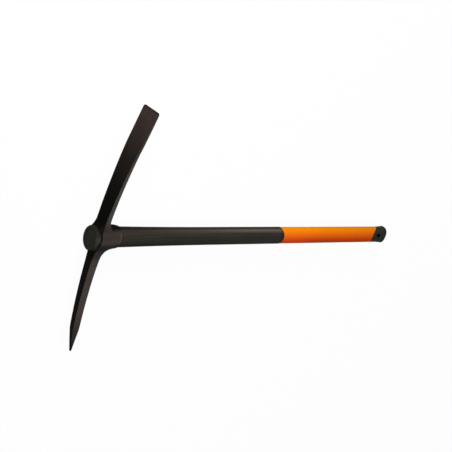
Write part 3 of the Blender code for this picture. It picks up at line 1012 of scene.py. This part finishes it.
def make_jacket_plastic():
    """Satin black jacket, painted browner on the chisel's side as light and darker on the pick's
    as shade.
    """
    material, tree, shader, colour = begin_plastic(
        "black jacket plastic", (0.025, 0.0225, 0.0185), (0.035, 0.0315, 0.026), 0.0007, 0.015)
    down, along, up = read_axes(tree, "Object")
    facing_y = read_axes(tree, "Normal")[1]
    # Painted light: browner where the jacket faces the chisel's side, darker where it faces the
    # pick's
    painted_lit_side = paint(tree, jacket_lit_root_brown, jacket_lit_brown, fade_between(tree, down, 0.10, 0.24))
    colour = paint(tree, colour, painted_lit_side, fade_between(tree, facing_y, 0.45, 0.90))
    colour = paint(tree, colour, jacket_shaded_underside, fade_between(tree, facing_y, -0.10, -0.55))

    # Painted highlights and shade lines along the shaft, and darker just before its end: across
    # runs from -0.5 on the chisel's side to 0.5
    across = value_node(tree, "ADD", product(tree, along, across_by_y),
                        product(tree, up, across_by_z))
    highlight_ridge = product(tree, fade_between(tree, across, -0.42, -0.32),
                    fade_between(tree, across, -0.10, -0.28), fade_between(tree, down, 0.22, 0.46))
    low_highlight_ridge = product(tree, fade_between(tree, across, 0.28, 0.36),
                        fade_between(tree, across, 0.41, 0.38))
    low_shade_line = product(tree, fade_between(tree, across, 0.39, 0.41),
                       fade_between(tree, down, 0.42, 0.25))
    high_shade_line = fade_between(tree, across, -0.32, -0.41)
    deep = value_node(tree, "DIVIDE", along, shaft_half_depth)
    from_joint = value_node(tree, "ADD", down, product(tree, deep, deep, joint_curve))
    end_line = fade_between(tree, from_joint, jacket_end_x - 0.0060, jacket_end_x - 0.0030)
    gain = product(tree, high_shade_line, -0.52)
    for mask, amount in ((highlight_ridge, 1.0), (low_highlight_ridge, 0.40), (low_shade_line, -0.45), (end_line, -0.6)):
        gain = value_node(tree, "ADD", gain, product(tree, mask, amount))
    gain = value_node(tree, "MAXIMUM", value_node(tree, "ADD", gain, 1.0), 0.2)
    tree.links.new(multiply_colour(tree, colour, gain), shader.inputs["Base Color"])
    return material


def make_butt_plastic():
    """Black end cap, with painted shade in and round its lanyard hole and along its end."""
    material, tree, shader, colour = begin_plastic(
        "black butt plastic", (0.020, 0.023, 0.017), (0.029, 0.032, 0.024), 0.0007, 0.02)
    down, along, _ = read_axes(tree, "Object")
    # Painted shade round the lanyard hole and along the cap's end
    ahead = product(tree, value_node(tree, "SUBTRACT", down, lanyard_hole_x - 0.0010), 0.66)
    radius = radius_of(tree, ahead, value_node(tree, "SUBTRACT", along, lanyard_hole_y))
    colour = paint(tree, colour, hole_shade_black, fade_between(tree, radius, 0.0056, 0.0038))
    shaded_rim = fade_between(tree, down, overall_length - 0.0080, overall_length - 0.0045)
    tree.links.new(paint(tree, colour, butt_rim_shade_black, shaded_rim, 0.45), shader.inputs["Base Color"])
    return material


def make_orange_rubber():
    """Soft orange overmould, painted yellower on the chisel's side as light and redder on the
    pick's as shade.
    """
    material, tree, shader = new_material("orange grip rubber")
    down = read_axes(tree, "Object")[0]
    facing_y = read_axes(tree, "Normal")[1]
    # Painted light: yellow where the grip faces the chisel's side, red where it faces the pick's
    turn = value_node(tree, "ADD", product(tree, facing_y, 0.5), 0.5, clamp=True)
    patches = use_group(tree, mottle_group, Size=0.018, Contrast=1.5)
    low = paint(tree, grip_shaded_red, grip_shaded_red_near_joint, fade_between(tree, down, 0.68, 0.56))
    colour = paint(tree, low, grip_lit_yellow, value_node(tree, "POWER", turn, 2.0))
    colour = paint(tree, colour, grip_aged_red, fade_between(tree, down, 0.62, 0.88), 0.22)
    colour = paint(tree, colour, grip_patch_red, patches.outputs["Mask"], 0.16)
    tree.links.new(colour, shader.inputs["Base Color"])
    grain = use_group(tree, grain_group, Size=0.0013, Pits=0.8).outputs["Height"]
    add_roughness(tree, shader, grain, 0.2, 0.50)
    shader.inputs["Specular IOR Level"].default_value = 0.015
    add_bump(tree, shader, grain, 0.00018)
    return material


def make_hidden(name, low, high, scale):
    """Resin or fibreglass, with uneven patches or streaks along the handle."""
    material, tree, shader = new_material(name)
    colour = mix_colour(tree, stretched_noise(tree, scale), low, high)
    tree.links.new(colour, shader.inputs["Base Color"])
    shader.inputs["Roughness"].default_value = 0.35
    return material


def dress(piece, material, slot, *nodes):
    piece.data.materials.clear()
    piece.data.materials.append(material)
    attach(piece, "root")
    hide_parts(*nodes)


dress(make_head(), make_coated_steel(), "forged_steel", "pick_head")
dress(make_eye_cap(), make_cap_plastic(), "cap_plastic", "eye_cap")
dress(make_shaft(), make_jacket_plastic(), "jacket_plastic", "shaft_jacket")
dress(make_grip(), make_orange_rubber(), "grip_rubber", "grip_sleeve")
dress(make_butt(), make_butt_plastic(), "butt_plastic", "butt_cap")

hidden = {
    "eye_resin": make_hidden("amber resin", (0.30, 0.16, 0.04), (0.42, 0.26, 0.09), (60, 60, 60)),
    "handle_core": make_hidden("fibreglass", (0.48, 0.43, 0.24), (0.62, 0.58, 0.36),
                               (6, 900, 900)),
}
for node, material in hidden.items():
    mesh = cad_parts[node].data
    mesh.materials.clear()
    mesh.materials.append(material)


# Floor, light and camera

def seen_ray(tree):
    """1 for the rays that show the stage itself, in the camera's view, in gloss or in glass."""
    path = tree.nodes.new("ShaderNodeLightPath")
    seen = value_node(tree, "ADD", path.outputs["Is Camera Ray"], path.outputs["Is Glossy Ray"],
                      clamp=True)
    return value_node(tree, "ADD", seen, path.outputs["Is Transmission Ray"], clamp=True)


def make_floor():
    """Matte floor that shows white and lights the tool less than white would."""
    clear_selection()
    bpy.ops.mesh.primitive_plane_add(size=40.0, location=(0, 0, cad_box[0][2] - 0.0005))
    floor = bpy.context.object
    floor.name = "floor"
    material = bpy.data.materials.new("white floor")
    material.use_nodes = True
    tree = material.node_tree
    tree.nodes.remove(tree.nodes["Principled BSDF"])
    matte = tree.nodes.new("ShaderNodeBsdfDiffuse")
    glow = tree.nodes.new("ShaderNodeEmission")
    glow.inputs["Color"].default_value = (1, 1, 1, 1)
    seen = seen_ray(tree)
    tree.links.new(mix_colour(tree, seen, (0.25, 0.25, 0.25), (1.0, 1.0, 1.0)),
                   matte.inputs["Color"])
    mix = tree.nodes.new("ShaderNodeMixShader")
    tree.links.new(product(tree, seen, 0.96), mix.inputs[0])
    tree.links.new(matte.outputs[0], mix.inputs[1])
    tree.links.new(glow.outputs[0], mix.inputs[2])
    tree.links.new(mix.outputs[0], tree.nodes["Material Output"].inputs["Surface"])
    floor.data.materials.append(material)


def make_world():
    world = bpy.data.worlds.new("studio")
    bpy.context.scene.world = world
    world.use_nodes = True
    tree = world.node_tree
    back = tree.nodes["Background"]
    back.inputs["Color"].default_value = (1, 1, 1, 1)
    level = value_node(tree, "ADD", product(tree, seen_ray(tree), 0.84), 0.16)
    tree.links.new(level, back.inputs["Strength"])


def add_light(name, target, direction, distance, size, power):
    light = bpy.data.lights.new(name, "AREA")
    light.shape = "DISK"
    light.size = size
    light.energy = power
    lamp = bpy.data.objects.new(name, light)
    bpy.context.scene.collection.objects.link(lamp)
    along = Vector(direction).normalized()
    lamp.location = Vector(target) + along * distance
    lamp.rotation_euler = along.to_track_quat("Z", "Y").to_euler()


def make_camera():
    """Camera set by the photograph's view of the head, the shaft and the grip."""
    right = Vector((0.74759, 0.33289, 0.57471))
    down = Vector((-0.00221, -0.86407, 0.50337))
    forward = Vector((0.66415, -0.37759, -0.64523))
    data = bpy.data.cameras.new("photograph")
    data.sensor_width = 36.0
    data.lens = 88.18
    data.clip_start = 0.05
    data.clip_end = 100.0
    camera = bpy.data.objects.new("photograph", data)
    bpy.context.scene.collection.objects.link(camera)
    turn = Matrix((right, -down, -forward)).transposed().to_4x4()
    camera.matrix_world = Matrix.Translation((-1.2844, 0.9597, 1.5965)) @ turn
    bpy.context.scene.camera = camera


make_floor()
make_world()
middle_of_tool = (0.40, 0.0, 0.0)
add_light("key", middle_of_tool, (-0.38, 0.88, 0.30), 2.6, 1.6, 74.0)
add_light("top", middle_of_tool, (-0.05, -0.10, 1.0), 2.4, 2.0, 24.0)
make_camera()
bpy.context.scene.view_settings.view_transform = "Standard"
